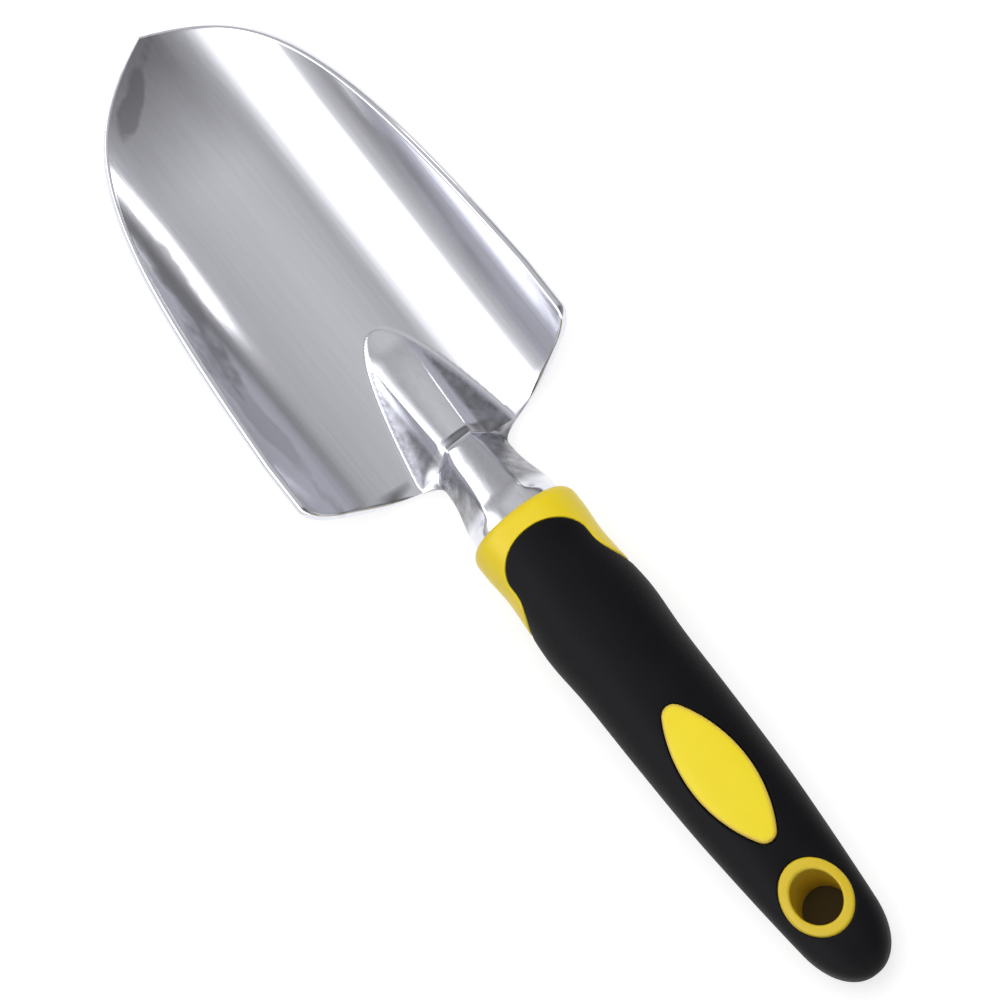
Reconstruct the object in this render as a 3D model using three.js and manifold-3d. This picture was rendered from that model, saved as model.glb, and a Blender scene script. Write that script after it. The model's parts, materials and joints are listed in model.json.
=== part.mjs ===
// Hand trowel: a cast aluminium scoop head whose tang runs inside a moulded two-colour handle.
// Millimetres, +Z up, scoop open upwards. The tool lies along Y with its tip at +Y and rests on
// the flat land along the scoop's back and on the eyelet at its tail, both at Z = 0.
import * as THREE from 'three';
import { mergeVertices } from 'three/addons/utils/BufferGeometryUtils.js';
import { ParametricGeometry } from 'three/addons/geometries/ParametricGeometry.js';
import Module from 'manifold-3d';

// Driving dimensions. A station is a distance back from the tip, measured along the tool.
const fitGap = 0.3; // between any two pieces that touch

// scoop
const bladeLength = 138; // tip to the middle of the rear edge
const bladeHalfWidth = 42.5;
const widestFromRear = 20; // how far ahead of the rear edge the scoop reaches its full width
// where the handles of the outline's curve lie, as shares of its length and its half width
const outlineHandles = { tip: [0.11, 0.74], side: [0.29, 0.905] };
const rimAngle = THREE.MathUtils.degToRad(62); // how far the scoop's wall has turned up at the rim
const sheetThickness = 2.4;
const landHalfWidth = 6; // flat land along the scoop's back, on which the tool lies
const tipLift = 6; // how far the keel rises at the tip
const tipLiftLength = 45;
const shoulderRadius = 5.5;
const rearSweep = 5; // how far the rear edge runs back between shoulder and neck

// rib on the scoop's floor
const ribLength = 43; // from its point to the rear edge
const ribHalfWidth = 16; // where its sides meet the floor at the rear edge
const ribOutlinePower = 0.5; // how blunt its nose is in plan: 0.5 is a parabola, 1 a triangle
const ribCrestRadius = 26; // across its gently rounded top
const ribCrestHalfWidth = 6.4;
const ribCrestEdge = 0.8; // how much its top's edges are rounded
const ribSideSlope = 0.97; // rise over run of its sides
const ribSink = 5; // how fast its nose dips below the floor ahead of its point
const ribStep = 0.4; // the rib stands this far above the floor all round its outline
const ribStepSlope = 1.5;
const ribFillet = 0.7;

// neck
const neckLength = 26; // rear edge to the front face of the collar
const neckWaistHalfWidth = 10.3;
const neckRootFillet = 7.1; // from the rear edge to the neck, across the tool
const neckRootLength = 5.5; // and along it
const neckEndHalfWidth = 13;
const neckRootHalfHeight = 9;
const neckEndHalfHeight = 11.7;
const neckRootCentre = 5.5; // height above the ground
const neckFlare = [0.48, 0.6]; // shares of the neck's length where its outline bends outwards
const neckRiseEnd = 4; // the neck climbs evenly until this far ahead of the collar
const neckRiseFillet = 0.15; // share of the climb over which it levels out
const neckCrestShare = 0.45; // half width of its flattish top, as a share of its own
const neckCrestFall = 0.1; // how far that top falls towards the sides, in half heights
const neckCrestEdge = 0.07; // how much the top's edges are rounded
const neckOval = 0.12; // share of a plain oval in its section
const neckOvalReach = 7; // over this length it turns into a plain oval at the collar
const neckBlend = 1.6; // fillet between the neck and the scoop's surfaces
const neckBlendReach = 6; // how far ahead of the rear edge the neck is blended in
const neckSideSlope = 4; // how fast it falls away past its own sides, in half heights

// tang
const tangLength = 88; // beyond the collar's front face
const tangShoulder = 4; // the neck goes this far into the collar at full size
const tangStep = 5;
const tangHalfWidth = 7;
const tangHalfHeight = 6;
const tangTaper = 1.5; // lost on each side by its end
const notchDepth = 1.4;
const notchLength = 9;
const notchStations = [34, 56]; // back from the collar's front face

// handle
const handleLength = 151;
const collarEdgeRadius = 3.4;
const tailRoundLength = 16;
const gripThickness = 4;
const collarDepth = 7; // collar's front face to the nose of the black tongues
const tongueHalfWidth = 12.5;
const tongueNoseLength = 8;
const tongueStraight = 2; // parallel stretch behind the nose
const tongueFlare = 0.75; // share of the way out to the handle's side where the flare turns
const stripLength = 30; // collar's front face to where the yellow side strips end
const stripTaper = 6; // length over which the strips' ends run out
const stripRunOut = 2.4; // the flare's own end lies this far outside the handle's side
// the handle's shape: [share of its length, half width, half height, centre's height, squareness]
const handleShape = [
  [0, 15.7, 14.3, 18.4, 2.15],
  [0.045, 15.75, 14.5, 18.1, 2.15],
  [0.1, 15.25, 14.2, 17.8, 2.15],
  [0.155, 15.7, 14.7, 17.4, 2.2],
  [0.225, 16.5, 15.2, 16.8, 2.2],
  [0.32, 15.8, 14.9, 16.1, 2.25],
  [0.46, 15.55, 14.2, 15.0, 2.3],
  [0.62, 15.0, 13.1, 13.6, 2.4],
  [0.74, 13.9, 11.6, 12.1, 2.6],
  [0.85, 12.6, 10.2, 10.55, 2.9],
  [0.92, 11.7, 9.7, 10.2, 2.9],
  [1, 11.4, 9.5, 10.2, 2.9],
];

// thumb pad
const padLength = 44;
const padHalfWidth = 8.75;
const padEndRadius = 3.4;
const padToEyelet = 6.8; // from its rear end to the eyelet
const padCrown = 0.9; // how far it stands proud of the grip

// hanging eyelet
const eyeletFromTail = 23;
const eyeletOuter = { halfLength: 10.9, halfWidth: 9.3 };
const eyeletBore = { halfLength: 7.4, halfWidth: 6.5 };
const eyeletProud = 0.35; // above the grip
const eyeletSeat = 2; // the core reaches this far behind the eyelet's front

// How finely the curved surfaces are divided.
const headColumns = 24;
const handleSides = 32;
const handleSteps = 17;
const socketSides = 24;
const ovalSides = 36;

// Stations and heights that follow from the sizes above.
const rearEdge = bladeLength + rearSweep;
const collarFace = rearEdge + neckLength;
const overallLength = collarFace + handleLength;
const tipY = overallLength / 2;
const tangEnd = collarFace + tangLength;
const waistStation = rearEdge + neckRootLength;
const middleRadius = bladeHalfWidth / Math.sin(rimAngle);
const floorRadius = middleRadius - sheetThickness / 2;
const backRadius = middleRadius + sheetThickness / 2;
const scoopCentre = Math.sqrt(backRadius ** 2 - landHalfWidth ** 2); // height of the scoop's axis
const eyeletStation = overallLength - eyeletFromTail;
const padStation = eyeletStation - eyeletOuter.halfLength - padToEyelet - padLength / 2;
const spineEnd = eyeletStation - eyeletOuter.halfLength + eyeletSeat;
const ground = -5; // below everything
const sky = 60; // above everything

const place = (x, station, z, target) => target.set(x, tipY - station, z);
const mix = THREE.MathUtils.lerp;
const smoothstep = THREE.MathUtils.smoothstep; // (value, low, high)

// The larger of two heights, with a fillet of about the given size where they cross.
function filletMax(a, b, size) {
  const h = Math.max(size - Math.abs(a - b), 0) / size;
  return Math.max(a, b) + (h * h * size) / 4;
}

// A round edge: 0 on the edge, 1 once it is a radius or more inside it.
function roundEdge(distance, radius) {
  const t = 1 - Math.min(Math.max(distance / radius, 0), 1);
  return Math.sqrt(1 - t * t);
}

// ---------- solids ----------
const wasm = await Module();
wasm.setup();

// Keeps position only, joins shared vertices and drops the triangles that a pole flattens.
function closedGeometry(geometry) {
  const source = geometry.clone();
  source.deleteAttribute('normal');
  source.deleteAttribute('uv');
  const merged = mergeVertices(source, 1e-4);
  const index = merged.getIndex().array;
  const kept = [];
  for (let i = 0; i < index.length; i += 3) {
    const [a, b, c] = [index[i], index[i + 1], index[i + 2]];
    if (a !== b && b !== c && c !== a) kept.push(a, b, c);
  }
  merged.setIndex(kept);
  return merged;
}

function toSolid(geometry) {
  const closed = closedGeometry(geometry);
  const mesh = new wasm.Mesh({
    numProp: 3,
    vertProperties: new Float32Array(closed.getAttribute('position').array),
    triVerts: new Uint32Array(closed.getIndex().array),
  });
  return new wasm.Manifold(mesh);
}

function toGeometry(solid) {
  const mesh = solid.getMesh();
  const geometry = new THREE.BufferGeometry();
  geometry.setAttribute('position', new THREE.BufferAttribute(mesh.vertProperties, 3));
  geometry.setIndex(Array.from(mesh.triVerts));
  geometry.computeVertexNormals();
  return geometry;
}

// A closed body through rings at the given stations. ring(station, turn, target) places a point;
// the first and last station are closed by a point on the ring's own centre.
function loft(stations, around, ring) {
  const last = stations.length + 1;
  const centre = new THREE.Vector3();
  const opposite = new THREE.Vector3();
  const surface = (u, v, target) => {
    const row = Math.round(v * last);
    const station = stations[Math.min(Math.max(row - 1, 0), stations.length - 1)];
    const turn = (u % 1) * 2 * Math.PI;
    ring(station, turn, target);
    if (row === 0 || row === last) {
      ring(station, 0, centre);
      ring(station, Math.PI, opposite);
      target.copy(centre.add(opposite).multiplyScalar(0.5));
    }
  };
  return toSolid(new ParametricGeometry(surface, around, last));
}

// An upright prism of a plan outline. The outline's points are (x, station).
function prism(outline, bottom, top) {
  const shape = new THREE.Shape(outline.map((p) => new THREE.Vector2(p.x, tipY - p.y)));
  const geometry = new THREE.ExtrudeGeometry(shape, { depth: top - bottom, bevelEnabled: false });
  geometry.translate(0, 0, bottom);
  return toSolid(geometry);
}

function ovalOutline(station, halfLength, halfWidth, steps) {
  const curve = new THREE.EllipseCurve(0, station, halfWidth, halfLength);
  return curve.getPoints(steps).slice(0, -1);
}

// ---------- trowel head ----------
const v2 = (x, y) => new THREE.Vector2(x, y);

// The head's half width against its station, from the tip to the end of the tang, as curves
// joined end to end. x is the station and y the half width.
function headOutline() {
  const widest = bladeLength - widestFromRear;
  const shoulder = bladeLength - shoulderRadius;
  const cornerHalfWidth = bladeHalfWidth - shoulderRadius;
  const rearInner = neckWaistHalfWidth + neckRootFillet;
  const sweep = rearSweep / (cornerHalfWidth - rearInner); // the rear edge's slope
  const handle = ([along, out]) => v2(widest * along, bladeHalfWidth * out);
  const side = new THREE.CubicBezierCurve(
    v2(0, 0),
    handle(outlineHandles.tip),
    handle(outlineHandles.side),
    v2(widest, bladeHalfWidth),
  );
  const corner = new THREE.QuadraticBezierCurve(
    v2(shoulder, bladeHalfWidth),
    v2(bladeLength - shoulderRadius * sweep, bladeHalfWidth),
    v2(bladeLength, cornerHalfWidth),
  );
  const rear = new THREE.LineCurve(corner.v2, v2(rearEdge, rearInner));
  const fillet = new THREE.QuadraticBezierCurve(
    rear.v2,
    v2(rearEdge + neckRootFillet * sweep, neckWaistHalfWidth),
    v2(waistStation, neckWaistHalfWidth),
  );
  const neck = new THREE.CubicBezierCurve(
    fillet.v2,
    v2(mix(waistStation, collarFace, neckFlare[0]), neckWaistHalfWidth),
    v2(mix(waistStation, collarFace, neckFlare[1]), neckEndHalfWidth),
    v2(collarFace, neckEndHalfWidth),
  );
  return [
    [side, 17],
    [new THREE.LineCurve(side.v3, corner.v0), 2],
    [corner, 5],
    [rear, 5],
    [fillet, 6],
    [neck, 7],
  ];
}

// The tang's half width and half height at a station beyond the collar's front face.
function tangSize(station) {
  const depth = station - collarFace;
  const share = depth / tangLength;
  const step = smoothstep(depth, tangShoulder, tangShoulder + tangStep);
  let halfWidth = mix(neckEndHalfWidth, tangHalfWidth - tangTaper * share, step);
  for (const notch of notchStations) {
    const across = Math.abs(depth - notch) / (notchLength / 2);
    halfWidth -= notchDepth * (1 - smoothstep(across, 0.5, 1));
  }
  const halfHeight = mix(neckEndHalfHeight, tangHalfHeight - tangTaper * share, step);
  return { halfWidth, halfHeight };
}

function tangStations() {
  const stations = [];
  for (const share of [0, 0.5, 1]) stations.push(collarFace + tangShoulder * share);
  for (const share of [0.3, 0.7, 1]) stations.push(collarFace + tangShoulder + tangStep * share);
  for (const notch of notchStations) {
    for (const side of [-0.5, -0.25, 0.25, 0.5]) stations.push(collarFace + notch + side * notchLength);
  }
  stations.push(tangEnd);
  return stations;
}

const headCurves = headOutline();
const bladeRows = [];
for (const [curve, steps] of headCurves) {
  for (let i = bladeRows.length ? 1 : 0; i <= steps; i += 1) {
    const p = curve.getPoint(i / steps);
    bladeRows.push({ station: p.x, halfWidth: p.y });
  }
}
const headRows = [...bladeRows];
for (const station of tangStations().slice(1)) {
  headRows.push({ station, halfWidth: tangSize(station).halfWidth });
}

const unroll = (x) => middleRadius * Math.asin(x / middleRadius);

// How far a point of the scoop's surface is from its edge, along the surface.
function edgeDistance(arc, station) {
  let nearest = Infinity;
  for (let i = 1; i < bladeRows.length; i += 1) {
    const a = bladeRows[i - 1];
    const b = bladeRows[i];
    const ax = unroll(a.halfWidth);
    const dx = unroll(b.halfWidth) - ax;
    const dy = b.station - a.station;
    const along = ((Math.abs(arc) - ax) * dx + (station - a.station) * dy) / (dx * dx + dy * dy);
    const t = Math.min(Math.max(along, 0), 1);
    nearest = Math.min(nearest, Math.hypot(Math.abs(arc) - ax - t * dx, station - a.station - t * dy));
  }
  return nearest;
}

function keelLift(station) {
  const t = Math.max(1 - station / tipLiftLength, 0);
  return tipLift * t * t;
}

// How far the rib's top has fallen at a distance from its middle: a gentle crest, then its sides.
function ribDrop(w) {
  const crest = w ** 2 / (2 * ribCrestRadius);
  const side = ribCrestHalfWidth ** 2 / (2 * ribCrestRadius) + ribSideSlope * (w - ribCrestHalfWidth);
  return filletMax(crest, side, ribCrestEdge);
}

// The rib's top at a point of the scoop. It climbs out of the floor at just the rate that makes
// its sides meet the floor along a round-nosed tongue in plan.
function ribTop(x, station) {
  const share = (station - rearEdge + ribLength) / ribLength;
  const reach = ribHalfWidth * Math.max(share, 0) ** ribOutlinePower;
  const climb = ribDrop(reach) + reach ** 2 / (2 * floorRadius) + ribSink * Math.min(share, 0);
  const crest = scoopCentre - floorRadius + climb + ribStep - ribDrop(Math.abs(x));
  // its edge is a small step, which closes its nose
  const nose = rearEdge - ribLength;
  const ahead = station - nose - ribLength * (Math.abs(x) / ribHalfWidth) ** (1 / ribOutlinePower);
  const aside = reach - Math.abs(x);
  const inside = (Math.sign(aside) * Math.abs(ahead * aside)) / (Math.hypot(ahead, aside) + 1e-9);
  const depth = station > nose ? inside : -Math.hypot(x, station - nose);
  const floor = scoopCentre - Math.sqrt(floorRadius ** 2 - x ** 2);
  return Math.min(crest, floor + ribStepSlope * depth);
}

function handleCentre(station) {
  return handleAt(Math.max(station, collarFace)).centre;
}

// The height of half a neck's section at a share of its half width, as a share of its half
// height. The upper half has a flattish top and sloping sides, and is a plain oval at the collar.
function neckProfile(station, share, side) {
  const oval = Math.sqrt(Math.max(1 - share * share, 0));
  if (side < 0) return oval;
  const crest = neckCrestFall * share * share - 1;
  const flank = (share - 1) / (1 - neckCrestShare);
  const flat = -filletMax(crest, flank, neckCrestEdge);
  const atCollar = smoothstep(station, collarFace - neckOvalReach, collarFace - 1);
  return mix(flat, oval, mix(neckOval, 1, atCollar));
}

// Half the neck's thickness across its width. Past its sides it falls away steeply.
function neckRise(neck, station, x, side) {
  const share = Math.abs(x) / neck.halfWidth;
  const past = neckSideSlope * (1 - share);
  return neck.halfHeight * (share < 1 ? neckProfile(station, share, side) : past);
}

function neckAt(station) {
  const share = (station - rearEdge) / (collarFace - rearEdge);
  const climbed = (station - rearEdge) / (collarFace - neckRiseEnd - rearEdge);
  const rise = 1 - filletMax(1 - climbed, 0, neckRiseFillet);
  return {
    centre: mix(neckRootCentre, handleCentre(station), rise),
    halfHeight: mix(neckRootHalfHeight, neckEndHalfHeight, Math.min(share, 1)),
    halfWidth: neckWaistHalfWidth,
  };
}

// A point of the head: across runs from -1 to 1 over its width, side is 1 for the top, -1 below.
function headPoint(row, across, side, target) {
  const { station, halfWidth } = row;
  if (station > waistStation) {
    const size = station > collarFace ? tangSize(station) : neckAt(station);
    const centre = station > collarFace ? handleCentre(station) : size.centre;
    const height = size.halfHeight * neckProfile(station, Math.abs(across), side);
    return place(across * halfWidth, station, centre + side * height, target);
  }
  const arc = across * unroll(halfWidth);
  const angle = arc / middleRadius;
  const x = middleRadius * Math.sin(angle);
  const asNeck = smoothstep(station, bladeLength, waistStation);
  const neck = neckAt(station);
  const lift = keelLift(station);
  const scoopMiddle = scoopCentre - middleRadius * Math.cos(angle) + lift;
  const middle = mix(scoopMiddle, neck.centre, asNeck);
  let offset = (sheetThickness / 2) * (1 - asNeck);
  const blend = Math.max(neckBlend * (1 - asNeck), 1e-3);
  if (side > 0) {
    const rib = (ribTop(x, station) - middle) * (1 - asNeck);
    offset = filletMax(offset, rib, (ribFillet * blend) / neckBlend);
  }
  if (station > bladeLength - neckBlendReach) {
    offset = filletMax(offset, side * (neck.centre - middle) + neckRise(neck, station, x, side), blend);
  }
  offset *= roundEdge(edgeDistance(arc, station), sheetThickness / 2) ** (1 - asNeck);
  const lean = angle * (1 - asNeck);
  const z = middle + side * offset * Math.cos(lean);
  const land = side < 0 ? Math.max(z, lift) : z;
  return place(x - side * offset * Math.sin(lean), station, land, target);
}

// Where the columns beside the middle one run, as a share of the half width. On the underside
// that is the land's edge wherever the head is wide enough, so that the land comes out flat.
function innerColumn(halfWidth, side) {
  const even = Math.sin(Math.PI / headColumns);
  const landArc = middleRadius * Math.asin(landHalfWidth / backRadius);
  return side < 0 ? Math.min(landArc / unroll(halfWidth), 1.5 * even) : even;
}

function headSolid() {
  const rows = headRows;
  const last = rows.length;
  const columns = headColumns;
  const surface = (u, v, target) => {
    const rowIndex = Math.round(v * last);
    const row = rows[Math.min(rowIndex, last - 1)];
    const step = Math.round(u * columns * 2) % (columns * 2);
    const side = step <= columns ? 1 : -1;
    const run = side > 0 ? step / columns : (2 * columns - step) / columns;
    const inner = Math.round(Math.abs(run - 0.5) * columns) === 1;
    const beside = Math.sign(0.5 - run) * innerColumn(row.halfWidth, side);
    headPoint(row, inner ? beside : Math.cos(Math.PI * run), side, target);
    if (rowIndex === last) place(0, row.station, handleCentre(row.station), target);
  };
  return toSolid(new ParametricGeometry(surface, columns * 2, last));
}

// ---------- handle ----------
const shapeStations = handleShape.map(([share]) => collarFace + share * handleLength);
const shapeValues = handleShape.flatMap((row) => row.slice(1));
const shapeCurve = new THREE.CubicInterpolant(shapeStations, shapeValues, 4);

function handleAt(station) {
  const [halfWidth, halfHeight, centre, squareness] = shapeCurve.evaluate(station);
  return { halfWidth, halfHeight, centre, squareness };
}

// A point on the handle's outside, moved outwards by grow. Its front edge and tail are rounded.
function handlePoint(station, turn, grow, target) {
  const { halfWidth, halfHeight, centre, squareness } = handleAt(station);
  const fromFace = station - collarFace;
  const frontLoss = collarEdgeRadius * (1 - roundEdge(fromFace, collarEdgeRadius));
  const tail = roundEdge(overallLength + grow - station, tailRoundLength + grow);
  const power = 2 / squareness;
  const c = Math.cos(turn);
  const s = Math.sin(turn);
  const x = Math.sign(c) * Math.abs(c) ** power * (halfWidth + grow - frontLoss) * tail;
  const z = Math.sign(s) * Math.abs(s) ** power * (halfHeight + grow - frontLoss) * tail;
  return place(x, station, centre + z, target);
}

// The handle's outside moved outwards by grow, between two stations. One that starts on the
// collar's face has its edge rounding, and one that runs to the tail has its round end.
function handleSolid(grow, from, to = overallLength) {
  const stations = [];
  const bodyEnd = Math.min(overallLength - tailRoundLength, to);
  if (from === collarFace) {
    for (const share of [0, 0.13, 0.5]) stations.push(from + share * collarEdgeRadius);
  } else {
    stations.push(from);
  }
  const bodyStart = collarFace + collarEdgeRadius;
  for (let i = 0; i <= handleSteps; i += 1) {
    const station = mix(bodyStart, bodyEnd, i / handleSteps);
    if (station > from + 1) stations.push(station);
  }
  if (to === overallLength) {
    for (const share of [0.35, 0.65, 0.85, 0.96]) {
      stations.push(bodyEnd + (tailRoundLength + grow) * share);
    }
    stations.push(overallLength + grow - 0.02);
  }
  return loft(stations, handleSides, (station, turn, target) => handlePoint(station, turn, grow, target));
}

// Plan outline of everything that the black grip may cover: a round-nosed tongue that flares out
// behind the side strips. Growing it moves every part of its front edge outwards.
function gripOutline(grow) {
  const noseCentre = collarFace + collarDepth + tongueNoseLength;
  const flareStart = noseCentre + tongueStraight;
  const flareEnd = collarFace + stripLength;
  const sideThere = handleAt(flareEnd).halfWidth;
  const farSide = 2 * sideThere;
  const drawnIn = grow / 2;
  const halfWidth = tongueHalfWidth + grow;
  const nose = new THREE.EllipseCurve(0, noseCentre, halfWidth, tongueNoseLength + grow, Math.PI, 2 * Math.PI);
  const flare = new THREE.CubicBezierCurve(
    v2(halfWidth, flareStart),
    v2(halfWidth, mix(flareStart, flareEnd, 0.35)),
    v2(mix(tongueHalfWidth, sideThere, tongueFlare) + grow, flareEnd - stripTaper - drawnIn),
    v2(sideThere + stripRunOut + grow, flareEnd + stripTaper / 2 - drawnIn),
  );
  const right = flare.getPoints(7);
  const left = right.map((p) => v2(-p.x, p.y)).reverse();
  const end = overallLength + farSide;
  return [...nose.getPoints(14), ...right, v2(farSide, end), v2(-farSide, end), ...left];
}

// Plan outline of the thumb pad: two shallow arcs with round ends.
function padOutline(grow) {
  const halfWidth = padHalfWidth + grow;
  const halfLength = padLength / 2 + grow;
  const endRadius = padEndRadius + grow;
  // the side arc touches both the widest point and the end circles
  const reach = halfLength - endRadius;
  const sideRadius = (reach * reach + halfWidth * halfWidth - endRadius * endRadius) / (2 * (halfWidth - endRadius));
  const touch = Math.atan2(reach, sideRadius - halfWidth);
  const outline = [];
  const arc = (cx, cy, radius, start, end, steps) => {
    for (let i = 0; i < steps; i += 1) {
      const angle = mix(start, end, i / steps);
      outline.push(v2(cx + radius * Math.cos(angle), padStation + cy + radius * Math.sin(angle)));
    }
  };
  arc(halfWidth - sideRadius, 0, sideRadius, -touch, touch, 14);
  arc(0, reach, endRadius, touch, Math.PI - touch, 6);
  arc(sideRadius - halfWidth, 0, sideRadius, Math.PI - touch, Math.PI + touch, 14);
  arc(0, -reach, endRadius, Math.PI + touch, 2 * Math.PI - touch, 6);
  return outline;
}

function eyeletCut(size, grow) {
  const outline = ovalOutline(eyeletStation, size.halfLength + grow, size.halfWidth + grow, ovalSides);
  return prism(outline, ground, sky);
}

function tangSocket() {
  const rows = [collarFace - 1, ...tangStations()];
  rows[rows.length - 1] = tangEnd + fitGap;
  return loft(rows, socketSides, (station, turn, target) => {
    const { halfWidth, halfHeight } = tangSize(Math.min(Math.max(station, collarFace), tangEnd));
    const x = (halfWidth + fitGap) * Math.cos(turn);
    const z = (halfHeight + fitGap) * Math.sin(turn);
    return place(x, station, handleCentre(station) + z, target);
  });
}

function coreSolid() {
  const collar = handleSolid(0, collarFace).subtract(prism(gripOutline(fitGap), ground, sky));
  const spine = handleSolid(-gripThickness, collarFace + collarEdgeRadius, spineEnd);
  return collar.add(spine).subtract(tangSocket()).subtract(eyeletCut(eyeletOuter, fitGap));
}

function gripSolid() {
  const cavity = handleSolid(
    fitGap - gripThickness,
    collarFace + collarEdgeRadius - fitGap,
    spineEnd + fitGap,
  );
  const window = prism(padOutline(fitGap), handleCentre(padStation), sky);
  return handleSolid(0, collarFace)
    .intersect(prism(gripOutline(0), ground, sky))
    .subtract(cavity)
    .subtract(window)
    .subtract(eyeletCut(eyeletOuter, fitGap));
}

function padSolid() {
  const column = prism(padOutline(0), handleCentre(padStation), sky);
  const seat = handleSolid(fitGap - gripThickness, collarFace + collarEdgeRadius);
  return column.intersect(handleSolid(padCrown, collarFace)).subtract(seat);
}

// The eyelet's top follows the grip and its lower face is flat, for the tool to rest on.
function eyeletSolid() {
  const { centre } = handleAt(eyeletStation);
  const outline = ovalOutline(eyeletStation, eyeletOuter.halfLength, eyeletOuter.halfWidth, ovalSides);
  const upper = prism(outline, centre - 1, sky).intersect(handleSolid(eyeletProud, collarFace));
  return prism(outline, 0, centre).add(upper).subtract(eyeletCut(eyeletBore, 0));
}

// ---------- materials and assembly ----------
const finish = (color, roughness, metalness) =>
  new THREE.MeshStandardMaterial({ color, roughness, metalness });

function piece(name, solid, material) {
  const mesh = new THREE.Mesh(toGeometry(solid), material);
  mesh.name = name;
  return mesh;
}

const trowel = new THREE.Group();
trowel.add(
  piece('trowel_head', headSolid(), finish(0xc9cacd, 0.12, 1)),
  piece('handle_core', coreSolid(), finish(0xf2d226, 0.35, 0)),
  piece('grip_sleeve', gripSolid(), finish(0x1b1b1e, 0.7, 0)),
  piece('thumb_pad', padSolid(), finish(0xf8dd28, 0.38, 0)),
  piece('hang_eyelet', eyeletSolid(), finish(0xe2c634, 0.35, 0)),
);

export default trowel;
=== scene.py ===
import json
import math

import bmesh
import bpy
import numpy as np
from mathutils import Matrix, Vector

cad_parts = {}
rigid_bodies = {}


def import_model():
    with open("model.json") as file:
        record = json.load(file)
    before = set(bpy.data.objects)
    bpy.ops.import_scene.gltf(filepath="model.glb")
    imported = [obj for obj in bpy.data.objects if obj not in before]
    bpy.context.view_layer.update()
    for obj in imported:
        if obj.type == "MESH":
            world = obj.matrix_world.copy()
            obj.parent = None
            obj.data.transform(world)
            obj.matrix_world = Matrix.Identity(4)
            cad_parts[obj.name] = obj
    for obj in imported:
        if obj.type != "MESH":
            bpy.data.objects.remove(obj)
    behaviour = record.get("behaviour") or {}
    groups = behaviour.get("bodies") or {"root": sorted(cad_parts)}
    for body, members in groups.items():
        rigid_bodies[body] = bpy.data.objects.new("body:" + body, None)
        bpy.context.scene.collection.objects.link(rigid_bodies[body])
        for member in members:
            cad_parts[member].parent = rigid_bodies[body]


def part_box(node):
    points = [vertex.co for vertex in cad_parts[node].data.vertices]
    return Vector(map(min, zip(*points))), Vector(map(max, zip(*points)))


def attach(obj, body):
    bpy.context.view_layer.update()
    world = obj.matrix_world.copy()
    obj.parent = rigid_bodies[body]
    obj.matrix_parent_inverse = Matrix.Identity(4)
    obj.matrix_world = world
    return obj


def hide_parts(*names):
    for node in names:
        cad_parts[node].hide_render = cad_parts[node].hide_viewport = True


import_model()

for leftover in [o for o in bpy.data.objects if o.name in ("Cube", "Light", "Camera")]:
    bpy.data.objects.remove(leftover)

print("trowel: frame loaded")
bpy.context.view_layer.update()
mm = 0.001
scene = bpy.context.scene


# Everything below is worked out in millimetres. A station is a distance back from the tip.
def nodeBox(name):
    low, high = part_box(name)
    return np.array(low) / mm, np.array(high) / mm


headLow, headHigh = nodeBox("trowel_head")
coreLow, coreHigh = nodeBox("handle_core")
gripLow = nodeBox("grip_sleeve")[0]
padLow, padHigh = nodeBox("thumb_pad")
eyeletLow, eyeletHigh = nodeBox("hang_eyelet")
tipY = headHigh[1]
collarFace = tipY - coreHigh[1]
tailEnd = tipY - gripLow[1]
tangEnd = tipY - headLow[1]
padStation = tipY - (padLow[1] + padHigh[1]) / 2
eyeletStation = tipY - (eyeletLow[1] + eyeletHigh[1]) / 2


def mix(a, b, t):
    return a + (b - a) * t


def smoothstep(value, low, high):
    t = np.clip((value - low) / (high - low), 0, 1)
    return t * t * (3 - 2 * t)


def filletMax(a, b, size):
    h = np.maximum(size - np.abs(a - b), 0) / size
    return np.maximum(a, b) + h * h * size / 4


def roundEdge(distance, radius):
    t = 1 - np.clip(distance / radius, 0, 1)
    return np.sqrt(1 - t * t)


def bezier(points, count):
    t = np.linspace(0, 1, count)[:, None]
    p = [np.array(q, float) for q in points]
    while len(p) > 1:
        p = [mix(a, b, t) for a, b in zip(p, p[1:])]
    return p[0]


def through(stations, values, at):
    # a smooth curve through every given value, with slopes from its neighbours
    s, v = np.asarray(stations, float), np.asarray(values, float)
    slope = np.gradient(v, s)
    i = np.clip(np.searchsorted(s, at) - 1, 0, len(s) - 2)
    h = s[i + 1] - s[i]
    t = np.clip((at - s[i]) / h, 0, 1)
    h00, h10 = (1 + 2 * t) * (1 - t) ** 2, t * (1 - t) ** 2
    h01, h11 = t * t * (3 - 2 * t), t * t * (t - 1)
    return h00 * v[i] + h10 * h * slope[i] + h01 * v[i + 1] + h11 * h * slope[i + 1]


def polylineDistance(x, y, line):
    # distance from each point to the nearest place on an open line of (x, y) points
    nearest = np.full(np.shape(x), np.inf)
    for (ax, ay), (bx, by) in zip(line[:-1], line[1:]):
        dx, dy = bx - ax, by - ay
        t = np.clip(((x - ax) * dx + (y - ay) * dy) / (dx * dx + dy * dy + 1e-12), 0, 1)
        nearest = np.minimum(nearest, np.hypot(x - ax - t * dx, y - ay - t * dy))
    return nearest


def insideOutline(x, y, line):
    inside = np.zeros(np.shape(x), bool)
    for (ax, ay), (bx, by) in zip(line, np.roll(line, -1, axis=0)):
        if ay != by:
            crosses = ((ay > y) != (by > y)) & (x < (bx - ax) * (y - ay) / (by - ay) + ax)
            inside ^= crosses
    return inside


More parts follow.
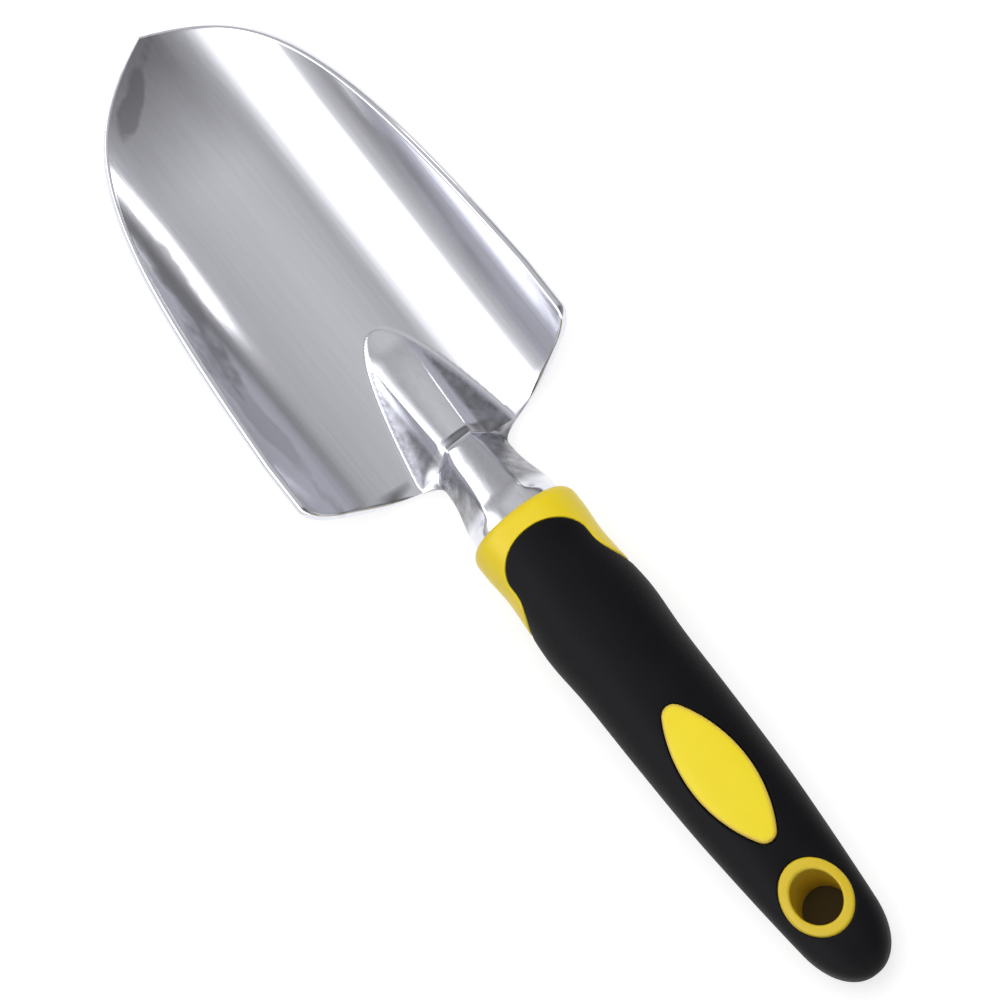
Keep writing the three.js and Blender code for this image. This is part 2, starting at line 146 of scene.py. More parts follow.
def makeMesh(name, points, faces, mergeDistance=0.002):
    # points are (x, station, z) in millimetres
    p = np.asarray(points, float)
    world = np.column_stack([p[:, 0], tipY - p[:, 1], p[:, 2]]) * mm
    mesh = bpy.data.meshes.new(name)
    mesh.from_pydata(world.tolist(), [], faces)
    piece = bpy.data.objects.new(name, mesh)
    scene.collection.objects.link(piece)
    body = bmesh.new()
    body.from_mesh(mesh)
    bmesh.ops.remove_doubles(body, verts=body.verts, dist=mergeDistance * mm)
    bmesh.ops.dissolve_degenerate(body, edges=body.edges, dist=mergeDistance * mm / 4)
    bmesh.ops.recalc_face_normals(body, faces=body.faces)
    openEdges = sum(1 for e in body.edges if len(e.link_faces) != 2)
    body.to_mesh(mesh)
    body.free()
    mesh.shade_smooth()
    print("trowel:", name, len(mesh.polygons), "faces,", openEdges, "open edges")
    return piece


def gridFaces(rows, columns, closedRows=False):
    faces = []
    for r in range(rows if closedRows else rows - 1):
        a, b = r * columns, (r + 1) % rows * columns
        for c in range(columns):
            d = (c + 1) % columns
            faces.append((a + c, a + d, b + d, b + c))
    return faces


head = {
    "bladeLength": 138,
    "bladeHalfWidth": 42.5,
    "widestFromRear": 20,
    # where the handles of the outline's curve lie, as shares of its length and its half width
    "tipHandle": (0.11, 0.74),
    "sideHandle": (0.29, 0.905),
    "rimAngle": 62,
    "sheet": 2.4,
    "rimRadius": 0.75,
    "landHalfWidth": 6,
    "tipLift": 6,
    "tipLiftLength": 45,
    "shoulderRadius": 5.5,
    "rearSweep": 5,
    "ribLength": 43,
    "ribHalfWidth": 16,
    "ribOutlinePower": 0.5,
    "ribCrestRadius": 26,
    "ribCrestHalfWidth": 6.4,
    "ribCrestEdge": 0.8,
    "ribSideSlope": 0.97,
    "ribSink": 5,
    "ribStep": 0.4,
    "ribStepSlope": 1.5,
    "ribFillet": 0.6,
    "neckWaist": 10.3,
    "neckRootFillet": 7.1,
    "neckFlare": (0.48, 0.6),
    "neckRootLength": 5.5,
    "neckEnd": 13,
    "neckRootHeight": 9,
    "neckEndHeight": 11.7,
    "neckRootCentre": 5.5,
    "neckCrestShare": 0.45,
    "neckCrestFall": 0.1,
    "neckCrestEdge": 0.07,
    "neckOval": 0.12,
    "neckOvalReach": 7,
    "neckRiseEnd": 4,
    "neckRiseFillet": 0.15,
    "neckBlend": 1.6,
    "tangShoulder": 4,
    "tangStep": 5,
    "tangHalfWidth": 7,
    "tangHalfHeight": 6,
    "tangTaper": 1.5,
    "notchDepth": 1.4,
    "notchLength": 9,
    "notches": (34, 56),
    "outlineSteps": 160,
    # columns from the middle to the rim, closer together over the rib and at the rim
    "middleShare": 0.4,
    "middleColumns": 34,
    "sideColumns": 24,
    "rimShare": 0.045,
    "rimColumns": 9,
}
rearEdge = head["bladeLength"] + head["rearSweep"]
waist = rearEdge + head["neckRootLength"]
middleRadius = head["bladeHalfWidth"] / math.sin(math.radians(head["rimAngle"]))
floorRadius = middleRadius - head["sheet"] / 2
scoopCentre = math.sqrt((middleRadius + head["sheet"] / 2) ** 2 - head["landHalfWidth"] ** 2)


def headOutline():
    # half width against station from the tip to the collar, as one dense line
    length, wide = head["bladeLength"], head["bladeHalfWidth"]
    fullest = length - head["widestFromRear"]
    shoulder = length - head["shoulderRadius"]
    inner = head["neckWaist"] + head["neckRootFillet"]
    corner = (length, wide - head["shoulderRadius"])
    sweep = head["rearSweep"] / (corner[1] - inner)

    def handleOf(name):
        along, out = head[name]
        return fullest * along, wide * out

    parts = [
        [(0, 0), handleOf("tipHandle"), handleOf("sideHandle"), (fullest, wide)],
        [(fullest, wide), (shoulder, wide)],
        [(shoulder, wide), (length - head["shoulderRadius"] * sweep, wide), corner],
        [corner, (rearEdge, inner)],
        [
            (rearEdge, inner),
            (rearEdge + head["neckRootFillet"] * sweep, head["neckWaist"]),
            (waist, head["neckWaist"]),
        ],
        [
            (waist, head["neckWaist"]),
            (mix(waist, collarFace, head["neckFlare"][0]), head["neckWaist"]),
            (mix(waist, collarFace, head["neckFlare"][1]), head["neckEnd"]),
            (collarFace, head["neckEnd"]),
        ],
    ]
    curves = [bezier(p, head["outlineSteps"]) for p in parts]
    return np.vstack([curves[0]] + [c[1:] for c in curves[1:]])


def spacedRows(line):
    # rows closer together where the surface turns fast
    run = np.concatenate([[0], np.cumsum(np.hypot(*np.diff(line, axis=0).T))])
    limits = [
        (4, 0.35),
        (92, 1.5),
        (head["bladeLength"] - 7, 0.55),
        (waist + 3, 0.4),
        (math.inf, 0.7),
    ]
    rows = [0.0]
    while rows[-1] < run[-1]:
        station = np.interp(rows[-1], run, line[:, 0])
        rows.append(rows[-1] + next(step for limit, step in limits if station < limit))
    rows[-1] = run[-1]
    return np.interp(rows, run, line[:, 0]), np.interp(rows, run, line[:, 1])


def tangSize(station):
    depth = station - collarFace
    share = depth / (tangEnd - collarFace)
    step = smoothstep(depth, head["tangShoulder"], head["tangShoulder"] + head["tangStep"])
    halfWidth = mix(head["neckEnd"], head["tangHalfWidth"] - head["tangTaper"] * share, step)
    for notch in head["notches"]:
        across = np.abs(depth - notch) / (head["notchLength"] / 2)
        halfWidth = halfWidth - head["notchDepth"] * (1 - smoothstep(across, 0.5, 1))
    halfHeight = mix(head["neckEndHeight"], head["tangHalfHeight"] - head["tangTaper"] * share, step)
    return halfWidth, halfHeight


def keelLift(station):
    return head["tipLift"] * np.maximum(1 - station / head["tipLiftLength"], 0) ** 2


def ribDrop(w):
    radius, edge = head["ribCrestRadius"], head["ribCrestHalfWidth"]
    side = edge**2 / (2 * radius) + head["ribSideSlope"] * (w - edge)
    return filletMax(w**2 / (2 * radius), side, head["ribCrestEdge"])


def ribTop(x, station):
    # the rib climbs at just the rate that makes its sides meet the floor along a round-nosed tongue
    share = (station - rearEdge + head["ribLength"]) / head["ribLength"]
    reach = head["ribHalfWidth"] * np.maximum(share, 0) ** head["ribOutlinePower"]
    climb = ribDrop(reach) + reach**2 / (2 * floorRadius) + head["ribSink"] * np.minimum(share, 0)
    crest = scoopCentre - floorRadius + climb + head["ribStep"] - ribDrop(np.abs(x))
    floor = scoopCentre - np.sqrt(floorRadius**2 - np.minimum(np.abs(x), floorRadius) ** 2)
    return np.minimum(crest, floor + head["ribStepSlope"] * ribDepth(x, station))


def ribDepth(x, station):
    # how far inside the rib's outline a point of the scoop is, less than zero outside it
    nose = rearEdge - head["ribLength"]
    share = np.maximum(station - nose, 0) / head["ribLength"]
    aside = head["ribHalfWidth"] * share ** head["ribOutlinePower"] - np.abs(x)
    start = (np.abs(x) / head["ribHalfWidth"]) ** (1 / head["ribOutlinePower"])
    ahead = station - nose - head["ribLength"] * start
    inside = np.sign(aside) * np.abs(ahead * aside) / (np.hypot(ahead, aside) + 1e-9)
    return np.where(station > nose, inside, -np.hypot(x, station - nose))


def neckAt(station):
    share = np.minimum((station - rearEdge) / (collarFace - rearEdge), 1)
    climbed = (station - rearEdge) / (collarFace - head["neckRiseEnd"] - rearEdge)
    rise = 1 - filletMax(1 - climbed, 0, head["neckRiseFillet"])
    centre = mix(head["neckRootCentre"], handleShape(np.maximum(station, collarFace))[2], rise)
    return centre, mix(head["neckRootHeight"], head["neckEndHeight"], share)


def neckProfile(station, share, side):
    # the upper half has a flattish top and sloping sides, and is a plain oval at the collar
    oval = np.sqrt(np.maximum(1 - share**2, 0))
    if side < 0:
        return oval
    crest = head["neckCrestFall"] * share**2 - 1
    flat = -filletMax(crest, (share - 1) / (1 - head["neckCrestShare"]), head["neckCrestEdge"])
    atCollar = smoothstep(station, collarFace - head["neckOvalReach"], collarFace - 1)
    return mix(flat, oval, mix(head["neckOval"], 1, atCollar))


def headSurface(station, halfWidth, across, side, edgeLine):
    # one face of the head, top or underside, as a grid of points
    s = np.repeat(station[:, None], len(across), axis=1)
    wide = halfWidth[:, None]
    a = across[None, :]
    arc = a * middleRadius * np.arcsin(wide / middleRadius)
    angle = arc / middleRadius
    x = middleRadius * np.sin(angle)
    asNeck = smoothstep(s, head["bladeLength"], waist)
    centre, halfHeight = neckAt(s)
    share = np.abs(x) / head["neckWaist"]
    within = neckProfile(s, share, side)
    rise = halfHeight * np.where(share < 1, within, 4 * (1 - share))
    lift = keelLift(s)
    middle = mix(scoopCentre - middleRadius * np.cos(angle) + lift, centre, asNeck)
    offset = head["sheet"] / 2 * (1 - asNeck)
    blend = np.maximum(head["neckBlend"] * (1 - asNeck), 1e-3)
    if side > 0:
        rib = (ribTop(x, s) - middle) * (1 - asNeck)
        offset = filletMax(offset, rib, head["ribFillet"] * blend / head["neckBlend"])
    asBar = filletMax(offset, side * (centre - middle) + rise, blend)
    offset = np.where(s > head["bladeLength"] - 6, asBar, offset)
    half = head["sheet"] / 2
    fromEdge = polylineDistance(np.abs(arc), s, edgeLine)
    edge = 1 - head["rimRadius"] / half * (1 - roundEdge(fromEdge, head["rimRadius"]))
    offset = offset * edge ** (1 - asNeck)
    lean = angle * (1 - asNeck)
    z = middle + side * offset * np.cos(lean)
    if side < 0:
        z = np.maximum(z, lift)
    points = np.stack([x - side * offset * np.sin(lean), s, z], axis=-1)
    # beyond the waist the section is a plain oval
    neckWide, neckHigh = wide, halfHeight
    tangWide, tangHigh = tangSize(s)
    inside = s > collarFace
    neckWide = np.where(inside, tangWide, neckWide)
    neckHigh = np.where(inside, tangHigh, neckHigh)
    centre = np.where(inside, handleShape(s)[2], centre)
    ovalHeight = np.maximum(centre + side * neckHigh * neckProfile(s, np.abs(a), side), 0)
    oval = np.stack([a * neckWide, s, ovalHeight], axis=-1)
    return np.where((s > waist)[..., None], oval, points)


# where the sides of the rib and neck are left duller and carry painted shade, a darker colour for dark
# reflections: each pair is where it starts to show and where it is full
castSkinAndShadeReach = {
    "besideCrest": (0.5, 1.5),
    "insideOutline": (0.9, 1.9),
    "above": 1.2,
    "neckStart": 2.5,
    "neckStop": (4, 8),
    "neckSide": (4.6, 5.8),
}


def castSkinAndShadeShare(x, station, z):
    # 1 on the duller sides of the rib and the neck, which carry painted shade, 0 elsewhere
    w = np.abs(x)
    under = scoopCentre - np.sqrt(np.maximum((middleRadius + head["sheet"] / 2) ** 2 - x**2, 0))
    onRib = smoothstep(w - head["ribCrestHalfWidth"], *castSkinAndShadeReach["besideCrest"])
    onRib = onRib * smoothstep(ribDepth(x, station), *castSkinAndShadeReach["insideOutline"]) * (z > under + castSkinAndShadeReach["above"])
    neckStart = smoothstep(station - rearEdge, 0, castSkinAndShadeReach["neckStart"])
    neckStop = smoothstep(collarFace - station, *castSkinAndShadeReach["neckStop"])
    onNeck = smoothstep(w, *castSkinAndShadeReach["neckSide"]) * neckStart * neckStop
    return np.where(station > rearEdge, onNeck, onRib)


def makeHead():
    line = headOutline()
    station, halfWidth = spacedRows(line)
    tang = collarFace + np.concatenate([np.linspace(0.8, 12, 14), np.arange(13, tangEnd - collarFace, 1.5)])
    tang = np.append(tang, tangEnd)
    station = np.concatenate([station, tang])
    halfWidth = np.concatenate([halfWidth, tangSize(tang)[0]])
    middle, rimStart = head["middleShare"], 1 - head["rimShare"]
    inner = np.linspace(0, middle, head["middleColumns"])
    fine = np.concatenate([inner, np.linspace(middle, rimStart, head["sideColumns"])[1:]])
    rim = 1 - head["rimShare"] * np.cos(np.linspace(0, math.pi / 2, head["rimColumns"])[1:])
    half = np.concatenate([fine, rim])
    half[-1] = 1
    across = np.concatenate([-half[:0:-1], half])
    edge = line[::4].copy()
    edgeLine = np.column_stack([middleRadius * np.arcsin(edge[:, 1] / middleRadius), edge[:, 0]])
    top = headSurface(station, halfWidth, across, 1, edgeLine)
    under = headSurface(station, halfWidth, across[::-1], -1, edgeLine)
    rings = np.concatenate([top, under], axis=1)
    rows, columns = rings.shape[:2]
    last = rings[-1].mean(axis=0)
    points = np.vstack([rings.reshape(-1, 3), np.repeat(last[None], columns, axis=0)])
    return makeMesh("trowelHead", points, gridFaces(rows + 1, columns))


handle = {
    "collarEdge": 3.4,
    "tailRound": 16,
    "gripThickness": 4,
    "collarDepth": 7,
    "tongueHalfWidth": 12.5,
    "tongueNose": 8,
    "tongueStraight": 2,
    "tongueFlare": 0.75,
    "stripLength": 30,
    "stripTaper": 6,
    "stripRunOut": 2.4,
    "tailRows": 34,
    "polePit": 0.0004,
    "spineSides": 48,
    "spineSteps": 60,
    # the collar's wall is thin at its lip, over the neck, and thickens behind it
    "lipWall": (0.3, 2.2),
    "stripWall": 4.2,
    "wallGrows": (4, 8),
    "collarRim": 0.3,
    "collarReach": 33,
    "collarStep": 0.55,
    "collarColumns": 190,
    "gripRim": 0.45,
    "gripStart": 5,
    "gripStep": 0.7,
    "gripColumns": 150,
    "gap": 0.3,
    # share of its length, half width, half height, centre's height, squareness
    "shape": (
        (0, 15.7, 14.3, 18.4, 2.15),
        (0.045, 15.75, 14.5, 18.1, 2.15),
        (0.1, 15.25, 14.2, 17.8, 2.15),
        (0.155, 15.7, 14.7, 17.4, 2.2),
        (0.225, 16.5, 15.2, 16.8, 2.2),
        (0.32, 15.8, 14.9, 16.1, 2.25),
        (0.46, 15.55, 14.2, 15.0, 2.3),
        (0.62, 15.0, 13.1, 13.6, 2.4),
        (0.74, 13.9, 11.6, 12.1, 2.6),
        (0.85, 12.6, 10.2, 10.55, 2.9),
        (0.92, 11.7, 9.7, 10.2, 2.9),
        (1, 11.4, 9.5, 10.2, 2.9),
    ),
}


def handleShape(station):
    # half width, half height, centre's height and squareness
    table = np.array(handle["shape"])
    stations = collarFace + table[:, 0] * (tailEnd - collarFace)
    at = np.clip(station, collarFace, tailEnd)
    return [through(stations, table[:, i], at) for i in (1, 2, 3, 4)]


def handlePoint(station, turn, grow):
    halfWidth, halfHeight, centre, squareness = handleShape(station)
    loss = handle["collarEdge"] * (1 - roundEdge(station - collarFace, handle["collarEdge"]))
    tail = roundEdge(tailEnd + grow - station, handle["tailRound"] + grow)
    c, s = np.cos(turn), np.sin(turn)
    x = np.sign(c) * np.abs(c) ** (2 / squareness) * (halfWidth + grow - loss) * tail
    z = np.sign(s) * np.abs(s) ** (2 / squareness) * (halfHeight + grow - loss) * tail
    return np.stack([x, station + 0 * turn, centre + z], axis=-1)


def tongueOutline(grow):
    # plan outline of all that the black grip covers
    nose = collarFace + handle["collarDepth"] + handle["tongueNose"]
    flareStart, flareEnd = nose + handle["tongueStraight"], collarFace + handle["stripLength"]
    taper, drawnIn = handle["stripTaper"], grow / 2
    wide = handle["tongueHalfWidth"] + grow
    sideThere = float(handleShape(np.array(flareEnd))[0])
    farSide = 2 * sideThere
    turn = np.linspace(math.pi, 2 * math.pi, 48)
    front = np.column_stack([
        wide * np.cos(turn),
        nose + (handle["tongueNose"] + grow) * np.sin(turn),
    ])
    turnOut = mix(handle["tongueHalfWidth"], sideThere, handle["tongueFlare"]) + grow
    flare = bezier(
        [
            (wide, flareStart),
            (wide, mix(flareStart, flareEnd, 0.35)),
            (turnOut, flareEnd - taper - drawnIn),
            (sideThere + handle["stripRunOut"] + grow, flareEnd + taper / 2 - drawnIn),
        ],
        32,
    )
    back = np.array([(farSide, tailEnd + 20), (-farSide, tailEnd + 20)])
    left = flare[::-1] * [-1, 1]
    return np.vstack([front, flare, back, left])


def outlineDepth(outline):
    # how far inside a closed plan outline a point is, less than zero outside it
    closed = np.vstack([outline, outline[:1]])

    def depth(x, station):
        away = polylineDistance(x, station, closed)
        return np.where(insideOutline(x, station, outline), away, -away)

    return depth


def skin(name, region, grow, wall, radius, rows, columns):
    # A piece of the handle's outside: the part of the surface that lies in a region of the plan,
    # with a rounded rim all round, a wall of the given thickness and an inner face.
    turn = np.linspace(0, 2 * math.pi, columns, endpoint=False)
    station = np.repeat(rows[:, None], columns, axis=1)
    turn = np.repeat(turn[None, :], len(rows), axis=0)
    step = 0.05

    def field(st, tu):
        # signed distance inside the rounded rim's start
        p = handlePoint(st, tu, grow)
        normal = surfaceNormal(st, tu, grow)
        x, z = p[..., 0], p[..., 2]
        gx = (region(x + step, st, z) - region(x - step, st, z)) / (2 * step)
        gs = (region(x, st + step, z) - region(x, st - step, z)) / (2 * step)
        inward = np.stack([gx, gs, np.zeros_like(gx)], axis=-1)
        inward = inward - normal * (inward * normal).sum(-1, keepdims=True)
        length = np.linalg.norm(inward, axis=-1, keepdims=True) + 1e-9
        inward = inward / length
        flat = np.hypot(inward[..., 0], inward[..., 1])
        return region(x, st, z) - radius * flat, p, normal, inward

    value = field(station, turn)[0]
    inside = value > 0
    best = np.full(value.shape, 0.500001)
    newStation, newTurn = station.copy(), turn.copy()
    turnStep = 2 * math.pi / columns
    for axis, stepSign in ((0, 1), (0, -1), (1, 1), (1, -1)):
        other = np.roll(value, -stepSign, axis=axis)
        crosses = (value > 0) != (other > 0)
        if axis == 0:
            crosses[-1 if stepSign > 0 else 0] = False
        t = np.where(crosses, value / (value - other + 1e-12), 9)
        nearer = crosses & (t < best)
        best = np.where(nearer, t, best)
        if axis == 0:
            newStation = np.where(nearer, mix(station, np.roll(station, -stepSign, axis=0), t), newStation)
            newTurn = np.where(nearer, turn, newTurn)
        else:
            newTurn = np.where(nearer, turn + stepSign * turnStep * t, newTurn)
            newStation = np.where(nearer, station, newStation)
    snapped = best < 0.5
    keep = inside | snapped
    _, points, normals, inwards = field(newStation, newTurn)
    faces = []
    for r in range(len(rows) - 1):
        for c in range(columns):
            d = (c + 1) % columns
            corners = [(r, c), (r, d), (r + 1, d), (r + 1, c)]
            kept = [i * columns + j for i, j in corners if keep[i, j]]
            firm = any(inside[i, j] and not snapped[i, j] for i, j in corners)
            if len(kept) == 4 or (len(kept) == 3 and firm):
                faces.append(tuple(kept))
    flatPoints = points.reshape(-1, 3)
    flatNormals = normals.reshape(-1, 3)
    outwards = -inwards.reshape(-1, 3)
    edges = {}
    for face in faces:
        for a, b in zip(face, face[1:] + face[:1]):
            key = (min(a, b), max(a, b))
            edges[key] = None if key in edges else (a, b)
    border = [pair for pair in edges.values() if pair]
    used = sorted({v for face in faces for v in face})
    borderVerts = sorted({v for pair in border for v in pair})
    number = {v: i for i, v in enumerate(used)}
    out = [flatPoints[v] for v in used]
    ring = {v: number[v] for v in borderVerts}
    allFaces = [tuple(number[v] for v in face) for face in faces]
    thick = wall(flatPoints[:, 1]) if callable(wall) else np.full(len(flatPoints), wall)
    turns = [math.radians(a) for a in (22, 45, 68, 90)]
    profile = [(radius * math.sin(t), radius * (1 - math.cos(t))) for t in turns] + [(radius, None)]
    for outwardBy, down in profile:
        nextRing = {}
        for v in borderVerts:
            sink = thick[v] if down is None else down
            nextRing[v] = len(out)
            out.append(flatPoints[v] + outwards[v] * outwardBy - flatNormals[v] * sink)
        for a, b in border:
            allFaces.append((ring[b], ring[a], nextRing[a], nextRing[b]))
        ring = nextRing
    inner = dict(ring)
    for v in used:
        if v not in inner:
            inner[v] = len(out)
            out.append(flatPoints[v] - flatNormals[v] * thick[v])
    allFaces += [tuple(inner[v] for v in reversed(face)) for face in faces]
    return makeMesh(name, out, allFaces, 0.0005)


def surfaceNormal(station, turn, grow):
    step = 1e-3
    along = handlePoint(station + step, turn, grow) - handlePoint(station - step, turn, grow)
    around = handlePoint(station, turn + step, grow) - handlePoint(station, turn - step, grow)
    normal = np.cross(around, along)
    length = np.linalg.norm(normal, axis=-1, keepdims=True)
    centre = handleShape(station)[2]
    p = handlePoint(station, turn, grow)
    outward = np.stack([p[..., 0], np.zeros_like(p[..., 0]), p[..., 2] - centre], axis=-1)
    outward = outward / (np.linalg.norm(outward, axis=-1, keepdims=True) + 1e-9)
    normal = np.where(length > 1e-9, normal / (length + 1e-12), outward)
    flip = np.sign((normal * outward).sum(-1, keepdims=True))
    return normal * np.where(flip == 0, 1, flip)


def handleRows(start, step):
    # even rows along the handle, then closer ones round its end
    stop = tailEnd - handle["tailRound"]
    turn = np.linspace(0, math.pi / 2, handle["tailRows"])[:-1]
    rows = [*np.arange(start, stop, step), *(stop + handle["tailRound"] * np.sin(turn))]
    return np.array([*rows, tailEnd - handle["polePit"]])


eyelet = {
    "outerHalfLength": (eyeletHigh[1] - eyeletLow[1]) / 2,
    "outerHalfWidth": (eyeletHigh[0] - eyeletLow[0]) / 2,
    "boreHalfLength": 7.4,
    "boreHalfWidth": 6.5,
    "lipShare": 0.55,
    "lipDepth": 1.0,
    "proud": 0.35,
    "sides": 96,
    "profile": 40,
}
pad = {
    "halfLength": (padHigh[1] - padLow[1]) / 2,
    "halfWidth": (padHigh[0] - padLow[0]) / 2,
    "endRadius": 3.4,
    "crown": 0.9,
    "edge": 1.1,
    "depth": 3.6,
    "margin": 2,
    "step": 0.45,
    "columns": 260,
}


def ovalDepth(halfWidth, halfLength):
    def depth(x, station):
        turn = np.arctan2((station - eyeletStation) / halfLength, x / halfWidth)
        edge = np.hypot(halfWidth * np.cos(turn), halfLength * np.sin(turn))
        return edge - np.hypot(x, station - eyeletStation)

    return depth


def padOutline(grow):
    wide, long, end = pad["halfWidth"] + grow, pad["halfLength"] + grow, pad["endRadius"] + grow
    reach = long - end
    side = (reach**2 + wide**2 - end**2) / (2 * (wide - end))
    touch = math.atan2(reach, side - wide)

    def arc(cx, cy, radius, start, stop, count):
        t = np.linspace(start, stop, count, endpoint=False)
        return np.column_stack([cx + radius * np.cos(t), padStation + cy + radius * np.sin(t)])

    return np.vstack([
        arc(wide - side, 0, side, -touch, touch, 40),
        arc(0, reach, end, touch, math.pi - touch, 12),
        arc(side - wide, 0, side, math.pi - touch, math.pi + touch, 40),
        arc(0, -reach, end, math.pi + touch, 2 * math.pi - touch, 12),
    ])


def makeGrip():
    tongue = outlineDepth(tongueOutline(0))
    window = outlineDepth(padOutline(handle["gap"] / 3))
    hole = ovalDepth(eyelet["outerHalfWidth"] + 0.1, eyelet["outerHalfLength"] + 0.1)
    centre = float(handleShape(np.array(padStation))[2])

    def region(x, station, z):
        depth = np.minimum(tongue(x, station), -hole(x, station))
        return np.minimum(depth, np.where(z > centre, -window(x, station), 99))

    rows = handleRows(collarFace + handle["gripStart"], handle["gripStep"])
    wall = handle["gripThickness"] - handle["gap"]
    return skin("gripSleeve", region, 0, wall, handle["gripRim"], rows, handle["gripColumns"])


def makeCollar():
    tongue = outlineDepth(tongueOutline(handle["gap"] / 2))

    def region(x, station, z):
        return np.minimum(-tongue(x, station), station - collarFace - 0.26)

    def wall(station):
        # clear of the neck in front, deep enough to reach the hidden core behind
        past = station - collarFace
        outer = handleShape(station)[0] - handle["collarEdge"] * (1 - roundEdge(past, handle["collarEdge"]))
        clear = np.clip(outer - head["neckEnd"] - handle["gap"], *handle["lipWall"])
        return mix(clear, handle["stripWall"], smoothstep(past, *handle["wallGrows"]))

    early = collarFace + handle["collarEdge"] * (1 - np.cos(np.linspace(0.05, math.pi / 2, 14)))
    start = collarFace + handle["collarEdge"]
    later = np.arange(start, collarFace + handle["collarReach"], handle["collarStep"])
    rows = np.concatenate([early[:-1], later])
    return skin("handleCollar", region, 0, wall, handle["collarRim"], rows, handle["collarColumns"])


def makePad():
    lens = outlineDepth(padOutline(0))
    centre = float(handleShape(np.array(padStation))[2])

    def region(x, station, z):
        return np.where(z > centre, lens(x, station), -9)

    reach = pad["halfLength"] + pad["margin"]
    rows = np.arange(padStation - reach, padStation + reach, pad["step"])
    return skin("thumbPad", region, pad["crown"], pad["depth"], pad["edge"], rows, pad["columns"])


def makeSpine():
    # the hidden rear half of the core: a tapered plug with the tang's socket in it
    start, end = collarFace + 8, tipY - coreLow[1]
    sides, steps = handle["spineSides"], handle["spineSteps"]
    turn = np.linspace(0, 2 * math.pi, sides, endpoint=False)[None, :]
    outerRows, outerTurn = np.broadcast_arrays(np.linspace(start, end, steps)[:, None], turn)
    outer = handlePoint(outerRows, outerTurn, -handle["gripThickness"])
    stations = np.linspace(tangEnd + handle["gap"], start, steps)[:, None]
    wide, high = tangSize(np.minimum(stations, tangEnd))
    centre = handleShape(stations)[2]
    gap = handle["gap"]
    socket = np.stack([
        (wide + gap) * np.cos(turn),
        stations + 0 * turn,
        centre + (high + gap) * np.sin(turn),
    ], axis=-1)
    capOuter = np.repeat(outer[-1].mean(axis=0)[None, None], sides, axis=1)
    capSocket = np.repeat(socket[0].mean(axis=0)[None, None], sides, axis=1)
    rings = np.concatenate([outer, capOuter])
    inner = np.concatenate([capSocket, socket])
    faces = gridFaces(len(rings), sides)
    shift = len(rings) * sides
    faces += [tuple(v + shift for v in f) for f in gridFaces(len(inner), sides)]
    lastInner = shift + (len(inner) - 1) * sides
    for c in range(sides):
        d = (c + 1) % sides
        faces.append((lastInner + c, lastInner + d, d, c))
    points = np.vstack([rings.reshape(-1, 3), inner.reshape(-1, 3)])
    return makeMesh("coreSpine", points, faces)


def joinPieces(name, pieces):
    body = bmesh.new()
    for piece in pieces:
        body.from_mesh(piece.data)
        mesh = piece.data
        bpy.data.objects.remove(piece)
        bpy.data.meshes.remove(mesh)
    mesh = bpy.data.meshes.new(name)
    body.to_mesh(mesh)
    body.free()
    mesh.shade_smooth()
    joined = bpy.data.objects.new(name, mesh)
    scene.collection.objects.link(joined)
    return joined


class Wire:
    # One output socket of a tree. Sums on it add math nodes.
    def __init__(self, tree, socket):
        self.tree, self.socket = tree, socket

    def math(self, operation, other=None, swap=False):
        node = self.tree.nodes.new("ShaderNodeMath")
        node.operation = operation
        pair = (other, self) if swap else (self, other)
        for slot, value in zip(node.inputs, pair):
            plug(self.tree, slot, value)
        return Wire(self.tree, node.outputs[0])

    def __add__(self, other):
        return self.math("ADD", other)

    def __radd__(self, other):
        return self.math("ADD", other, swap=True)

    def __sub__(self, other):
        return self.math("SUBTRACT", other)

    def __rsub__(self, other):
        return self.math("SUBTRACT", other, swap=True)

    def __mul__(self, other):
        return self.math("MULTIPLY", other)

    def __rmul__(self, other):
        return self.math("MULTIPLY", other, swap=True)

    def __truediv__(self, other):
        return self.math("DIVIDE", other)

    def __rtruediv__(self, other):
        return self.math("DIVIDE", other, swap=True)

    def __pow__(self, other):
        return self.math("POWER", other)


def plug(tree, slot, value):
    if isinstance(value, Wire):
        tree.links.new(value.socket, slot)
    elif value is not None:
        slot.default_value = value


class Maker:
    def __init__(self, tree):
        self.tree = tree

    def node(self, kind, settings=None, output=0, **sockets):
        # settings are set first, then sockets by name, with underscores for spaces, or s0, s1 by place
        made = self.tree.nodes.new(kind)
        for name, value in (settings or {}).items():
            setattr(made, name, value)
        for name, value in sockets.items():
            byPlace = name[0] == "s" and name[1:].isdigit()
            place = int(name[1:]) if byPlace else name.replace("_", " ")
            plug(self.tree, made.inputs[place], value)
        return Wire(self.tree, made.outputs[output])

    def ramp(self, factor, stops):
        made = self.tree.nodes.new("ShaderNodeValToRGB")
        plug(self.tree, made.inputs[0], factor)
        while len(made.color_ramp.elements) < len(stops):
            made.color_ramp.elements.new(0.5)
        for element, (position, colour) in zip(made.color_ramp.elements, stops):
            element.position = position
            element.color = (*colour, 1)
        return Wire(self.tree, made.outputs[0])

    def mixColour(self, factor, a, b, blend="MIX"):
        made = self.tree.nodes.new("ShaderNodeMix")
        made.data_type, made.blend_type = "RGBA", blend
        for slot, value in zip((0, 6, 7), (factor, a, b)):
            single = isinstance(value, (Wire, float, int))
            plug(self.tree, made.inputs[slot], value if single else (*value, 1))
        return Wire(self.tree, made.outputs[2])


def newMaterial(name, build):
    material = bpy.data.materials.new(name)
    material.use_nodes = True
    tree = material.node_tree
    tree.nodes.clear()
    maker = Maker(tree)
    shader = tree.nodes.new("ShaderNodeBsdfPrincipled")
    output = tree.nodes.new("ShaderNodeOutputMaterial")
    tree.links.new(shader.outputs[0], output.inputs[0])
    place = Wire(tree, tree.nodes.new("ShaderNodeTexCoord").outputs["Object"])
    for socket, value in build(maker, place).items():
        plug(tree, shader.inputs[socket], value)
    return material


def stretched(maker, place, scale):
    return maker.node("ShaderNodeMapping", Vector=place, Scale=scale)


